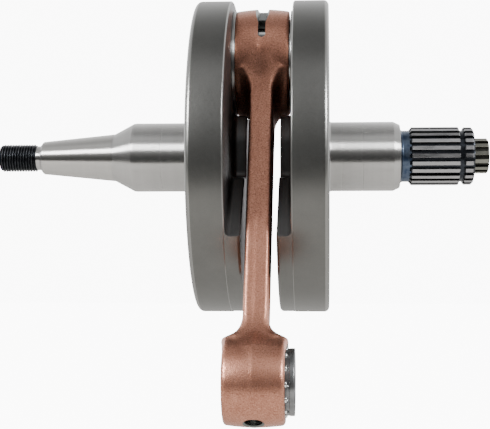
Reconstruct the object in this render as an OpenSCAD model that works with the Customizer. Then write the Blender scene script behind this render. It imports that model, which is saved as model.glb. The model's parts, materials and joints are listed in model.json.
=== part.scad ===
// Built-up crankshaft of a single-cylinder two-stroke engine, with its connecting rod.
// X runs along the crank axis, with X = 0 midway between the two webs. Z points from the
// crank axis to the crank pin, and the rod leans towards -Y. The origin is on the crank
// axis. The ignition side is -X and the drive side is +X.

/* [Webs] */
// Piston stroke, which is twice the throw of the crank pin
stroke = 68; // [64:1:69]
// Outer diameter of both webs
web_d = 112; // [110:1:116]
// Distance between the outer faces of the two webs
web_span = 46.6; // [45:0.1:50]
// Distance between the inner faces of the two discs
floor_gap = 21.6; // [21.5:0.1:22]
// Distance between the raised counterweight faces
pad_gap = 11.9; // [11:0.1:13]
// Radius of the outer corner of each web
web_corner_r = 1.8; // [0.5:0.1:3]
// Chamfer of the inner rim of each web
web_rim_chamfer = 0.5; // [0.2:0.1:1]
// Width of the raised neck below the crank pin
neck_w = 21; // [16:0.5:26]
// Radius of the round recess that clears the big end
recess_r = 20.5; // [20.3:0.1:22]

/* [Crank pin] */
// Diameter of the crank pin
pin_d = 22; // [22:0.5:22]
// Length of the crank pin
pin_len = 45.4; // [44:0.1:46]
// Diameter of the hole along the crank pin
pin_hole_d = 10; // [6:0.5:14]

/* [Connecting rod] */
// Distance between the centres of the big end and the small end
rod_length = 125; // [120:1:135]
// Lean of the rod from straight down, towards the front
rod_lean = 29.8; // [0:0.1:45]
// How far the rod sits off the webs' middle at rest, towards the ignition side
rod_offset = 0.24; // [0:0.02:0.24]
// Width of the big end
big_w = 19; // [18:0.1:19]
// Bore of the big end
big_bore_d = 30.05; // [30.03:0.01:30.1]
// Outer diameter of the big end at its middle
big_eye_d = 39.4; // [38.6:0.1:39.6]
// Width of the small end
small_w = 19.4; // [18:0.1:21]
// Bore of the small end
small_bore_d = 22.05; // [22.03:0.01:22.1]
// Outer diameter of the small end at its middle
small_eye_d = 28.6; // [27.5:0.1:30]
// Thickness of the shank along the crank axis
shank_t = 7.3; // [6.5:0.1:8]
// Width of the shank at the big end, seen along the crank axis
shank_w_big = 20; // [18:0.5:21]
// Width of the shank at the small end, seen along the crank axis
shank_w_small = 15.5; // [14:0.5:17]
// Width of the oil slots in the big end
slot_w = 2.6; // [2:0.1:3]
// Diameter of the oil hole in the tip of the small end
tip_hole_d = 5.6; // [4:0.1:6]

/* [Bearings] */
// Number of rollers in the big-end bearing
big_rollers = 16; // [14:1:16]
// Diameter of a big-end roller
big_roller_d = 4; // [4:0.5:4]
// Length of a big-end roller
big_roller_len = 11.5; // [10:0.5:12]
// Number of needles in the small-end bearing
small_needles = 13; // [12:1:16]
// Diameter of a small-end needle
small_needle_d = 2; // [2:0.5:2]
// Length of a small-end needle
small_needle_len = 17.3; // [16:0.1:17.5]
// Length of the small-end cage
small_cage_len = 21.9; // [21:0.1:23]
// How far the small-end bearing stands out of the rod on the drive side
small_cage_out = 2.9; // [0:0.1:5]
// Thickness of each thrust washer
washer_t = 1; // [0.8:0.05:1]

/* [Ignition side shaft] */
// Diameter of the main journals on both sides
journal_d = 25; // [24:0.5:26]
// Length of the ignition side journal
ign_journal_len = 24.2; // [22:0.1:26]
// Length of the steep cone beside the journal
ign_cone_len = 7.1; // [5:0.1:9]
// Large diameter of the 1 to 5 taper
taper_d = 17.2; // [16:0.1:18]
// Length of the 1 to 5 taper
taper_len = 27.3; // [25:0.1:28]
// Diameter of the relief between taper and thread
relief_d = 8.8; // [8:0.1:9]
// Major diameter of the nut thread
thread_d = 10; // [10:1:10]
// Distance from the crank's middle to the end of the thread
thread_end = 97; // [93:0.1:100]
// Width of the Woodruff keyway in the back of the taper
keyway_w = 3; // [2.5:0.5:4]

/* [Drive side shaft] */
// Length of the drive side journal
drv_journal_len = 25.4; // [23:0.1:27]
// Diameter of the neck beside the journal
neck_d = 18.5; // [17:0.1:18.6]
// Distance from the crank's middle to the start of the splines
spline_start = 51.9; // [51.5:0.1:53]
// Outer diameter of the gear splines
spline_d = 21; // [20:0.1:22]
// Root diameter of the gear splines
spline_root_d = 18.6; // [18:0.1:18.8]
// Number of gear splines
spline_teeth = 23; // [18:1:26]
// Distance from the crank's middle to the end of the gear splines
spline_end = 74.8; // [73:0.1:76]
// Outer diameter of the stub splines
stub_d = 12.65; // [12:0.05:14]
// Number of stub splines
stub_teeth = 13; // [10:1:16]
// Distance from the crank's middle to the end of the stub
stub_end = 80.2; // [78:0.1:82]

/* [Hidden] */
$fn = 96;
throw = stroke / 2;
web_r = web_d / 2;
web_out = web_span / 2;
floor_x = floor_gap / 2;
pad_x = pad_gap / 2;
// Points of the counterweight outline, as distances from the crank axis
neck_top_w = 13;
neck_turn_z = 6;
ledge_y = 22;
ledge_z = -8.5;
shoulder_y = 48;
shoulder_z = -29.4;
// The counterweight is turned slightly smaller than the disc behind it
pad_step = 0.15;
// Small overlap that joins solids of one piece
weld = 0.5;

ign_journal_end = web_out + ign_journal_len;
taper_start = ign_journal_end + ign_cone_len;
taper_end = taper_start + taper_len;
taper_end_d = taper_d - taper_len / 5;
thread_start = taper_end + 1.6;
keyway_x = taper_start + 12;
keyway_cutter_d = 13;
keyway_depth = 4.2;
drv_journal_end = web_out + drv_journal_len;
groove_start = 69.6;
groove_w = 1.5;
groove_d = 18.4;
stub_root_d = stub_d - 1.9;

big_pitch_r = (pin_d + big_bore_d) / 4;
big_cage_len = 15;
big_cage_in_r = pin_d / 2 + 0.35;
big_cage_out_r = big_bore_d / 2 - 0.4;
small_pitch_r = 10.01;
small_cage_in_r = 9.3;
small_cage_out_r = 10.5;
small_cage_x = small_w / 2 + small_cage_out - small_cage_len / 2;
window_play = 0.06;
// Turns of the two bearings at rest, which decide where their rollers stand
big_cage_turn = 12;
small_cage_turn = 20.7;

big_eye_r = big_eye_d / 2;
small_eye_r = small_eye_d / 2;
// The eyes are crowned: their sides are this much lower than their middle
eye_crown = 0.8;
eye_chamfer = 0.7;
// Fillet between the sides of the shank and the two eyes
side_fillet_r = 3.6;
small_side_fillet_r = 4.6;
// Sweeps of the shank's edges into the eyes, seen along the crank axis
big_sweep_r = 40;
small_sweep_r = 30;
channel_depth = 1.5;
channel_rim = 2.6;
washer_d = 38;
washer_play = 0.1;
// Clearance of each washer from its web
washer_gap = 0.03;

function two_digits(i) = i < 10 ? str("0", i) : str(i);
function big_roller_name(i) = str("big_end_roller_", two_digits(i));
function small_needle_name(i) = str("small_end_needle_", two_digits(i));

// Points on an arc about centre c, from angle a0 to angle a1
function arc(c, r, a0, a1, n = 16) =
  [for (i = [0:n]) let (a = a0 + (a1 - a0) * i / n) [c[0] + r * cos(a), c[1] + r * sin(a)]];
function mirrored(points) =
  [for (i = [len(points) - 1:-1:0]) [-points[i][0], points[i][1]]];

// ---------- placing ----------

// Turns an outline drawn as (radius, distance along X) into a solid about X
module about_x() {
  rotate([0, 90, 0]) rotate_extrude() children();
}

// Extrudes an outline drawn as (Y, Z) along X, from x0 to x1
module along_x(x0, x1) {
  translate([x0, 0, 0]) rotate([90, 0, 90]) linear_extrude(x1 - x0) children();
}

// Cylinder or cone about X, from x0 to x1
module x_cylinder(x0, x1, d0, d1) {
  translate([x0, 0, 0]) rotate([0, 90, 0]) cylinder(h = x1 - x0, d1 = d0, d2 = d1);
}

// The rod's own frame: big end at the origin, small end on +Z, and its +Y side faces the
// front and up
module rod_frame() {
  translate([-rod_offset, 0, throw]) rotate([180 - rod_lean, 0, 0]) children();
}

// ---------- crank halves ----------

// Outline of the disc, as (radius, distance along X)
module disc_outline() {
  difference() {
    translate([0, floor_x]) square([web_r, web_out - floor_x]);
    translate([web_r - web_corner_r, web_out - web_corner_r]) difference() {
      square(web_corner_r + 1);
      circle(web_corner_r);
    }
    translate([web_r, floor_x]) rotate(45)
      square(web_rim_chamfer * sqrt(2), center = true);
  }
}

// Outline of the raised neck and counterweight, as (Y, Z)
module counterweight_outline() {
  half = [
    [neck_top_w / 2, throw],
    [neck_top_w / 2, throw - recess_r],
    [neck_w / 2, neck_turn_z],
    [neck_w / 2, ledge_z],
    [ledge_y, ledge_z],
    [shoulder_y, shoulder_z],
    [web_r, shoulder_z - 8],
    [web_r, -web_r]
  ];
  difference() {
    intersection() {
      circle(web_r - pad_step);
      polygon(concat(half, mirrored(half)));
    }
    translate([0, throw]) circle(recess_r);
  }
}

// Disc with its counterweight and its pin hole, on the +X side
module web() {
  difference() {
    union() {
      about_x() disc_outline();
      along_x(pad_x, floor_x + weld) counterweight_outline();
    }
    translate([0, 0, throw]) x_cylinder(0, web_out + 1, pin_d, pin_d);
  }
}

// Teeth of a spline about X, from x0 to x1, cut from a bar of the outer diameter
module spline(x0, x1, d, root_d, teeth, tooth_share, turn) {
  pitch = 360 / teeth;
  tooth_w = 3.1416 * (d + root_d) / 2 / teeth * tooth_share;
  along_x(x0, x1) union() {
    circle(d = root_d);
    intersection() {
      circle(d = d);
      for (i = [0:teeth - 1]) rotate(turn + i * pitch)
        translate([0, -tooth_w / 2]) square([d, tooth_w]);
    }
  }
}

module ignition_shaft() {
  x_cylinder(web_out - weld, ign_journal_end, journal_d, journal_d);
  x_cylinder(ign_journal_end, taper_start, journal_d, taper_d);
  x_cylinder(taper_start, taper_end, taper_d, taper_end_d);
  x_cylinder(taper_end - weld, thread_start + weld, relief_d, relief_d);
  x_cylinder(thread_start, thread_start + 0.6, relief_d, thread_d);
  x_cylinder(thread_start + 0.6, thread_end - 0.7, thread_d, thread_d);
  x_cylinder(thread_end - 0.7, thread_end, thread_d, thread_d - 1.4);
}

module drive_shaft() {
  journal_chamfer = 1;
  chamfer_start = drv_journal_end - 2.4;
  x_cylinder(web_out - weld, chamfer_start, journal_d, journal_d);
  x_cylinder(chamfer_start, drv_journal_end, journal_d, journal_d - 2 * journal_chamfer);
  x_cylinder(drv_journal_end - weld, spline_start + weld, neck_d, neck_d);
  difference() {
    intersection() {
      spline(spline_start, spline_end, spline_d, spline_root_d, spline_teeth, 0.52, 2.8);
      union() {
        x_cylinder(spline_start, spline_start + 0.6, spline_d - 1.2, spline_d);
        x_cylinder(spline_start + 0.6, spline_end - 0.7, spline_d, spline_d);
        x_cylinder(spline_end - 0.7, spline_end, spline_d, spline_d - 1.4);
      }
    }
    difference() {
      x_cylinder(groove_start, groove_start + groove_w, spline_d + 2, spline_d + 2);
      x_cylinder(groove_start - 1, groove_start + groove_w + 1, groove_d, groove_d);
    }
  }
  intersection() {
    spline(spline_end - weld, stub_end, stub_d, stub_root_d, stub_teeth, 0.5, 0);
    union() {
      x_cylinder(spline_end - 1, stub_end - 0.5, stub_d, stub_d);
      x_cylinder(stub_end - 0.5, stub_end, stub_d, stub_d - 1);
    }
  }
}

// Half-round keyway, cut into the back of the taper
module keyway() {
  back_y = (taper_d - (keyway_x - taper_start) / 5) / 2;
  translate([keyway_x, back_y + keyway_cutter_d / 2 - keyway_depth, -keyway_w / 2])
    cylinder(h = keyway_w, d = keyway_cutter_d);
}

module ignition_side_half() {
  color("dimgray") mirror([1, 0, 0]) difference() {
    union() {
      web();
      ignition_shaft();
    }
    keyway();
  }
}

module drive_side_half() {
  color("dimgray") union() {
    web();
    drive_shaft();
  }
}

module crank_pin() {
  chamfer = 0.8;
  color("silver") translate([0, 0, throw]) about_x() polygon([
    [pin_hole_d / 2, -pin_len / 2],
    [pin_d / 2 - chamfer, -pin_len / 2],
    [pin_d / 2, -pin_len / 2 + chamfer],
    [pin_d / 2, pin_len / 2 - chamfer],
    [pin_d / 2 - chamfer, pin_len / 2],
    [pin_hole_d / 2, pin_len / 2]
  ]);
}

// ---------- big-end bearing ----------

// A thrust washer beside a web, with the big end inside it; side is 1 or -1
module thrust_washer(side) {
  inner_x = side * (floor_x - washer_gap - washer_t);
  outer_x = side * (floor_x - washer_gap);
  in_r = pin_d / 2 + washer_play;
  color("gainsboro") translate([0, 0, throw]) about_x() polygon([
    [in_r, inner_x],
    [washer_d / 2 - 0.2, inner_x],
    [washer_d / 2, inner_x + side * 0.2],
    [washer_d / 2, outer_x - side * 0.2],
    [washer_d / 2 - 0.2, outer_x],
    [in_r, outer_x]
  ]);
}

module ignition_thrust_washer() {
  thrust_washer(-1);
}

module drive_thrust_washer() {
  thrust_washer(1);
}

// A roller cage about X with one window for each roller
module cage(len, in_r, out_r, count, turn, roller_d, roller_len, pitch_r) {
  window = [roller_len + window_play, roller_d + window_play, out_r - in_r + 2];
  difference() {
    x_cylinder(-len / 2, len / 2, out_r * 2, out_r * 2);
    x_cylinder(-len / 2 - 1, len / 2 + 1, in_r * 2, in_r * 2);
    for (i = [0:count - 1]) rotate([turn + i * 360 / count, 0, 0])
      translate([0, 0, pitch_r]) cube(window, center = true);
  }
}

// Roller number i of a bearing about X, with rounded-off ends
module roller(i, count, turn, d, len, pitch_r) {
  end = 0.25;
  rotate([turn + (i - 1) * 360 / count, 0, 0]) translate([0, 0, pitch_r]) about_x()
    polygon([
      [0, -len / 2],
      [d / 2 - end, -len / 2],
      [d / 2, -len / 2 + end],
      [d / 2, len / 2 - end],
      [d / 2 - end, len / 2],
      [0, len / 2]
    ]);
}

module big_end_cage() {
  color("slategray") rod_frame() cage(
    big_cage_len, big_cage_in_r, big_cage_out_r, big_rollers, big_cage_turn,
    big_roller_d, big_roller_len, big_pitch_r
  );
}

module big_end_roller(i) {
  color("lightgray") rod_frame()
    roller(i, big_rollers, big_cage_turn, big_roller_d, big_roller_len, big_pitch_r);
}

// ---------- small-end bearing ----------

module small_end_frame() {
  rod_frame() translate([small_cage_x, 0, rod_length]) children();
}

module small_end_cage() {
  color("slategray") small_end_frame() cage(
    small_cage_len, small_cage_in_r, small_cage_out_r, small_needles, small_cage_turn,
    small_needle_d, small_needle_len, small_pitch_r
  );
}

module small_end_needle(i) {
  color("lightgray") small_end_frame() roller(
    i, small_needles, small_cage_turn, small_needle_d, small_needle_len, small_pitch_r
  );
}

// ---------- connecting rod ----------

// Half of the shank's edge, from the big end's circle to the small end's circle
function shank_edge() =
  let (
    wb = shank_w_big / 2,
    ws = shank_w_small / 2,
    rb = big_eye_r - 1,
    rs = small_eye_r - 1,
    big_c = [wb + big_sweep_r, sqrt(pow(rb + big_sweep_r, 2) - pow(wb + big_sweep_r, 2))],
    small_rise = sqrt(pow(rs + small_sweep_r, 2) - pow(ws + small_sweep_r, 2)),
    small_c = [ws + small_sweep_r, rod_length - small_rise],
    big_a = atan2(big_c[1], big_c[0]),
    small_a = atan2(small_rise, small_c[0])
  )
  concat(
    arc(big_c, big_sweep_r, 180 + big_a, 180),
    arc(small_c, small_sweep_r, 180, 180 - small_a)
  );

// Plan of the shank, as (Y, Z) in the rod's frame
module shank_plan() {
  edge = shank_edge();
  polygon(concat([[0, 0]], edge, [[0, rod_length]], mirrored(edge)));
}

// Crowned ring of an eye about X, as (radius, distance along X)
module eye_outline(r, w) {
  side_r = r - eye_crown;
  polygon([
    [0, -w / 2],
    [side_r - eye_chamfer, -w / 2],
    [side_r, -w / 2 + eye_chamfer],
    [r - 0.1, -2],
    [r - 0.1, 2],
    [side_r, w / 2 - eye_chamfer],
    [side_r - eye_chamfer, w / 2],
    [0, w / 2]
  ]);
}

// Collar that fillets the shank's sides into an eye of side radius r, at the plan's origin
module eye_collar(r, w, fillet_r) {
  foot = shank_t / 2;
  rise = [for (i = [0:8]) let (a = 90 * i / 8)
    [r + fillet_r * (1 - cos(a)), foot + fillet_r * (1 - sin(a))]];
  outline = concat([[0, 0], [0, foot + fillet_r]], rise, [[r + fillet_r, 0]]);
  intersection() {
    for (side = [0, 1]) mirror([side, 0, 0]) about_x() polygon(outline);
    along_x(-w / 2, w / 2) children();
  }
}

// Shallow channel in one side of the shank, as (Y, Z)
module channel_plan() {
  end_big = big_eye_r + 8;
  end_small = rod_length - small_eye_r - 8;
  wb = shank_w_big / 2 - channel_rim;
  ws = shank_w_small / 2 - channel_rim;
  translate([0, end_big]) circle(wb);
  translate([0, end_small]) circle(ws);
  polygon([[-wb, end_big], [wb, end_big], [ws, end_small], [-ws, end_small]]);
}

// Oil windows, V cuts and a shallow groove across the far side of the big end
module oil_slots() {
  window_end = 96;
  window_start = 72;
  flat_turn = 52;
  flat_r = big_eye_r - 3.1;
  far = big_eye_r + 2;
  groove_r = big_eye_r - 0.8;
  v = 1.25;
  for (side = [-1, 1]) {
    // Window through the wall, with a round end
    intersection() {
      translate([-slot_w / 2, -30, -30]) cube([slot_w, 60, 60]);
      along_x(-slot_w, slot_w) polygon([
        [0, 0],
        far * [side * sin(window_start), -cos(window_start)],
        1.4 * far * [side * sin((window_start + window_end) / 2),
          -cos((window_start + window_end) / 2)],
        far * [side * sin(window_end), -cos(window_end)]
      ]);
    }
    rotate([180 + side * window_end, 0, 0]) translate([0, 0, 10])
      cylinder(h = 14, d = slot_w, $fn = 48);
    // Straight V cut with a flat floor
    rotate([180 + side * flat_turn, 0, 0]) translate([0, 0, flat_r])
      rotate([90, 0, 0]) linear_extrude(30, center = true) polygon([
        [-slot_w / 2, 0],
        [slot_w / 2, 0],
        [slot_w / 2 + v, 3.1],
        [slot_w / 2 + v, 6],
        [-slot_w / 2 - v, 6],
        [-slot_w / 2 - v, 3.1]
      ]);
  }
  // Shallow groove that joins both cuts round the far side
  rotate([0, 90, 0]) rotate([0, 0, -58]) rotate_extrude(angle = 116) polygon([
    [groove_r, -slot_w / 2],
    [far, -slot_w / 2 - 0.5],
    [far, slot_w / 2 + 0.5],
    [groove_r, slot_w / 2]
  ]);
}

module connecting_rod() {
  small_end = [0, 0, rod_length];
  color("peru") rod_frame() difference() {
    union() {
      about_x() eye_outline(big_eye_r, big_w);
      translate(small_end) about_x() eye_outline(small_eye_r, small_w);
      along_x(-shank_t / 2, shank_t / 2) shank_plan();
      eye_collar(big_eye_r - eye_crown, big_w, side_fillet_r) shank_plan();
      translate(small_end) eye_collar(small_eye_r - eye_crown, small_w, small_side_fillet_r)
        translate([0, -rod_length]) shank_plan();
    }
    x_cylinder(-big_w, big_w, big_bore_d, big_bore_d);
    translate(small_end) x_cylinder(-small_w, small_w, small_bore_d, small_bore_d);
    oil_slots();
    translate(small_end) cylinder(h = 30, d = tip_hole_d);
    for (side = [0, 1]) mirror([side, 0, 0])
      along_x(shank_t / 2 - channel_depth, shank_t) channel_plan();
  }
}

ignition_side_half();
drive_side_half();
crank_pin();
ignition_thrust_washer();
drive_thrust_washer();
big_end_cage();
for (i = [1:big_rollers])
  big_end_roller(i);
connecting_rod();
small_end_cage();
for (i = [1:small_needles])
  small_end_needle(i);
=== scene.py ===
"""Two-stroke crankshaft with its connecting rod, on a plain pale floor.

Outlines are in millimetres in the frame's own axes: X along the crank axis, Z to the crank
pin. They become metres when a mesh is made.
"""

import json
import math

import bmesh
import bpy
import numpy as np
from mathutils import Matrix, Vector


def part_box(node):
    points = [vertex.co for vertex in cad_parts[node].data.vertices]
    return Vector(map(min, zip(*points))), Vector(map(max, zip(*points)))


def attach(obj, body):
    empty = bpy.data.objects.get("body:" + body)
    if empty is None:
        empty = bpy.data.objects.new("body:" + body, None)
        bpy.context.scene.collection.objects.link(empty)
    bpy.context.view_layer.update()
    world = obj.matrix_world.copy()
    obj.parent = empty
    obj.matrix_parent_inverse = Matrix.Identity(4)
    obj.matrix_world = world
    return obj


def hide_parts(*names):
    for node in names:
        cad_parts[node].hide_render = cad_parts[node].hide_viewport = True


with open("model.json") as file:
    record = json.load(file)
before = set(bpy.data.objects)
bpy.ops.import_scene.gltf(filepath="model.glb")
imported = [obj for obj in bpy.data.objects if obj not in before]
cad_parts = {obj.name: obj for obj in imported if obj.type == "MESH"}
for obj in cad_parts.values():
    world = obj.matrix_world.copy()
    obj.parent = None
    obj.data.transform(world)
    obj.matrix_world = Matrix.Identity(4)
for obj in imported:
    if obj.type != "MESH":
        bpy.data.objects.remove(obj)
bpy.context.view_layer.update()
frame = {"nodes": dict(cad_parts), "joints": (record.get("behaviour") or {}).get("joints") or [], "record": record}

# ---------------------------------------------------------------- sizes, in mm

MM = 0.001
MOUNTS = {m["name"]: m for m in frame["record"]["mounts"]}
JOINTS = {j["name"]: j for j in frame["joints"]}


def box_mm(node):
    """Lowest and highest corner of a CAD node, in mm."""
    low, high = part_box(node)
    return low / MM, high / MM


def point_mm(values):
    return Vector(values) / MM


half_low, half_high = box_mm("drive_side_half")
shaft_low, _ = box_mm("ignition_side_half")
pin_low, pin_high = box_mm("crank_pin")
rod_low, rod_high = box_mm("connecting_rod")
washer_low, washer_high = box_mm("drive_thrust_washer")

WEB_R = half_high.z
CRANK_PIN = point_mm(JOINTS["rod_swing"]["pos_m"])
SMALL_END = point_mm(JOINTS["small_end_bearing_spin"]["pos_m"])
ROD_REACH = Vector((0, SMALL_END.y - CRANK_PIN.y, SMALL_END.z - CRANK_PIN.z))
ROD_DIR = ROD_REACH.normalized()
ROD_LENGTH = ROD_REACH.length
JOURNAL_R = MOUNTS["drive_journal"]["dims"]["r_mm"]
THREAD_R = MOUNTS["nut_thread"]["dims"]["r_mm"]
PIN_R = (pin_high.z - pin_low.z) / 2
PIN_END = pin_high.x
PIN_HOLE_R = 5.0

WEB_OUT = 23.3
FLOOR_X = 10.8
PAD_X = half_low.x
PAD_R = WEB_R - 0.15
WEB_CORNER = 1.8
NECK_HALF = 10.5
NECK_TOP = 6.5
NECK_TURN = 6.0
KEYWAY_X = 66.6
KEYWAY_W = 3.0
KEYWAY_R = 6.5
KEYWAY_DEPTH = 4.2
RECESS_R = 20.5
LEDGE = (22.0, -8.5)
SHOULDER = (48.0, -29.4)
PAD_FILLET = 1.8

IGN_JOURNAL_END = 47.5
TAPER_START = 54.6
TAPER_END = 81.9
TAPER_R = 8.6
TAPER_SLOPE = 0.1
RELIEF_R = 4.4
THREAD_START = 83.5
THREAD_END = -shaft_low.x
THREAD_PITCH = 1.0

DRV_JOURNAL_END = 48.7
NECK_R = 9.25
SPLINE_START = 51.9
SPLINE_END = 74.8
SPLINE_R = 10.5
SPLINE_ROOT = 9.25
SPLINE_TEETH = 23
SPLINE_TURN = -2.8
GROOVE = (69.6, 71.1)
GROOVE_R = 9.2
STUB_R = 6.325
STUB_ROOT = 5.35
STUB_TEETH = 13
STUB_TURN = 6
STUB_END = half_high.x

BIG_HALF_W = 9.5
BIG_R = 19.6
BIG_BORE = 15.025
SMALL_HALF_W = 9.7
SMALL_R = 14.1
SMALL_BORE = 11.025
BORE_CHAMFER = 0.4
SHANK_HALF_T = 4.05
SHANK_HALF_BIG = 10.0
SHANK_HALF_SMALL = 7.75
SLOT_HALF = 1.3
TIP_HOLE_R = 2.8

# Where the oil windows, V cuts and groove lie round the big end, in degrees from its far side
WINDOW_START = 72.0
WINDOW_END = 96.2
V_CUT_TURN = 52
GROOVE_END = 54

# Shape of the rod's forging: the seam left by its dies, and how far its eyes are crowned
SEAM_HEIGHT = 0.1
SEAM_WIDTH = 0.7
BIG_CROWN = 0.8
BIG_CROWN_POWER = 1.6
BIG_EDGE_R = 0.7
SMALL_CROWN = 0.75
SMALL_CROWN_POWER = 1.8
SMALL_EDGE_R = 1.1

# Arcs that widen (sweep) and thicken (flare) the shank: start along the rod, radius, length
SWEEP_BIG, SWEEP_BIG_R, SWEEP_BIG_LENGTH = 44.8, 100.0, 37.8
SWEEP_SMALL, SWEEP_SMALL_R, SWEEP_SMALL_LENGTH = 103.8, 30.0, 14.7
FLARE_BIG, FLARE_BIG_R, FLARE_BIG_LENGTH = 22.0, 11.0, 9.2
FLARE_SMALL, FLARE_SMALL_R, FLARE_SMALL_LENGTH = 105.0, 9.0, 8.0

# Edges of the shank, and how much softer they get towards each eye
SHANK_EDGE_R = 1.1
SHANK_EDGE_BIG = 1.6
SHANK_EDGE_SMALL = 2.4

# Channel in each side of the shank; the gap is what it keeps from each eye
CHANNEL_RIM = 2.9
CHANNEL_CORNER_R = 3.0
CHANNEL_DEPTH = 1.6
CHANNEL_GAP = 7.5
CHANNEL_FLOOR_R = 1.0
CHANNEL_EDGE_R = 1.2

# Fillets into the eyes, their swelling at the middle, and the room between the webs
BIG_FILLET_R = 2.4
SMALL_FILLET_R = 3.6
SWELL_R = 2.6
SWELL_WIDTH = 4.2
ROOM_HALF_W = 5.45
ROOM_STEP = 0.85
ROOM_END = 70

# ---------------------------------------------------------------- mesh helpers


def rounded(points, steps=5, closed=False):
    """A polyline through (a, b, radius) corners, each rounded to its radius."""
    out = []
    count = len(points)
    for i, (a, b, radius) in enumerate(points):
        if radius == 0 or (not closed and i in (0, count - 1)):
            out.append((a, b))
            continue
        here = Vector((a, b))
        back = Vector(points[i - 1][:2]) - here
        ahead = Vector(points[(i + 1) % count][:2]) - here
        half = back.angle(ahead) / 2
        cut = min(radius / math.tan(half), 0.49 * min(back.length, ahead.length))
        start = here + back.normalized() * cut
        middle = (back.normalized() + ahead.normalized()).normalized()
        centre = here + middle * (cut / math.cos(half))
        v0 = start - centre
        v1 = here + ahead.normalized() * cut - centre
        turn = math.atan2(v0.x * v1.y - v0.y * v1.x, v0.dot(v1))
        for k in range(steps + 1):
            t = turn * k / steps
            c, s = math.cos(t), math.sin(t)
            out.append((centre.x + v0.x * c - v0.y * s, centre.y + v0.x * s + v0.y * c))
    return out


def make(name, verts, faces, material, sharp=32.0):
    """A smooth-shaded mesh object from points in mm, with edges over the angle kept sharp."""
    mesh = bpy.data.meshes.new(name)
    mesh.from_pydata([tuple(np.asarray(v, float) * MM) for v in verts], [], faces)
    bm = bmesh.new()
    bm.from_mesh(mesh)
    bmesh.ops.recalc_face_normals(bm, faces=bm.faces)
    bm.to_mesh(mesh)
    bm.free()
    obj = bpy.data.objects.new(name, mesh)
    bpy.context.scene.collection.objects.link(obj)
    mesh.materials.append(material)
    smooth(obj, sharp)
    return obj


def smooth(obj, sharp=32.0):
    obj.data.shade_smooth()
    obj.data.set_sharp_from_angle(angle=math.radians(sharp))


def loft(name, rings, material, loop=False, sharp=32.0):
    """Skins rings of equal length; a loop joins the last ring to the first, else both cap."""
    rings = [list(r) for r in rings]
    size = len(rings[0])
    verts = [v for ring in rings for v in ring]
    faces = []
    last = len(rings) if loop else len(rings) - 1
    for i in range(last):
        a, b = i * size, (i + 1) % len(rings) * size
        for j in range(size):
            k = (j + 1) % size
            faces.append((a + j, a + k, b + k, b + j))
    if not loop:
        faces.append(tuple(range(size)))
        faces.append(tuple((len(rings) - 1) * size + j for j in range(size)))
    return make(name, verts, faces, material, sharp)


def lathe(name, outline, material, segments=192, loop=False, side=1, sharp=32.0):
    """Turns an outline of (x, radius) about X. Ends of an open outline close at the axis."""
    turns = [2 * math.pi * k / segments for k in range(segments)]
    rings = [[(side * x, r * math.sin(t), r * math.cos(t)) for t in turns] for x, r in outline]
    return loft(name, rings, material, loop, sharp)


def move(obj, matrix):
    """Moves a piece's own points; the matrix is in mm."""
    metres = matrix.copy()
    metres.translation = metres.translation * MM
    obj.data.transform(metres)
    return obj


def joined(name, objects):
    """One object with every part's mesh and materials."""
    with bpy.context.temp_override(
        active_object=objects[0], object=objects[0], selected_editable_objects=objects,
        selected_objects=objects,
    ):
        bpy.ops.object.join()
    objects[0].name = name
    objects[0].data.name = name
    return objects[0]


def paint(obj, material, chosen):
    """Gives a material to the faces whose middle and normal, in mm, pass a test."""
    obj.data.materials.append(material)
    slot = len(obj.data.materials) - 1
    for face in obj.data.polygons:
        if chosen(face.center / MM, face.normal):
            face.material_index = slot


def combine(obj, other, operation, sharp=32.0):
    """Applies one exact boolean to a piece and deletes the tool; cut faces keep its material."""
    modifier = obj.modifiers.new(operation, "BOOLEAN")
    modifier.operation = operation
    modifier.solver = "EXACT"
    modifier.material_mode = "TRANSFER"
    modifier.object = other
    bpy.context.view_layer.update()
    result = bpy.data.meshes.new_from_object(
        obj.evaluated_get(bpy.context.evaluated_depsgraph_get())
    )
    obj.modifiers.clear()
    old = obj.data
    obj.data = result
    bpy.data.meshes.remove(old)
    bpy.data.objects.remove(other)
    smooth(obj, sharp)
    return obj


def x_placed(angle, at=(0, 0, 0)):
    """Matrix that turns about X by an angle in degrees and then moves."""
    return Matrix.Translation(Vector(at)) @ Matrix.Rotation(math.radians(angle), 4, "X")


BIG_END = Vector(((rod_low.x + rod_high.x) / 2, CRANK_PIN.y, CRANK_PIN.z))
ROD_ANGLE = math.degrees(math.atan2(-ROD_DIR.y, ROD_DIR.z))
ROD_FRAME = x_placed(ROD_ANGLE, BIG_END)

# ---------------------------------------------------------------- materials


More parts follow.
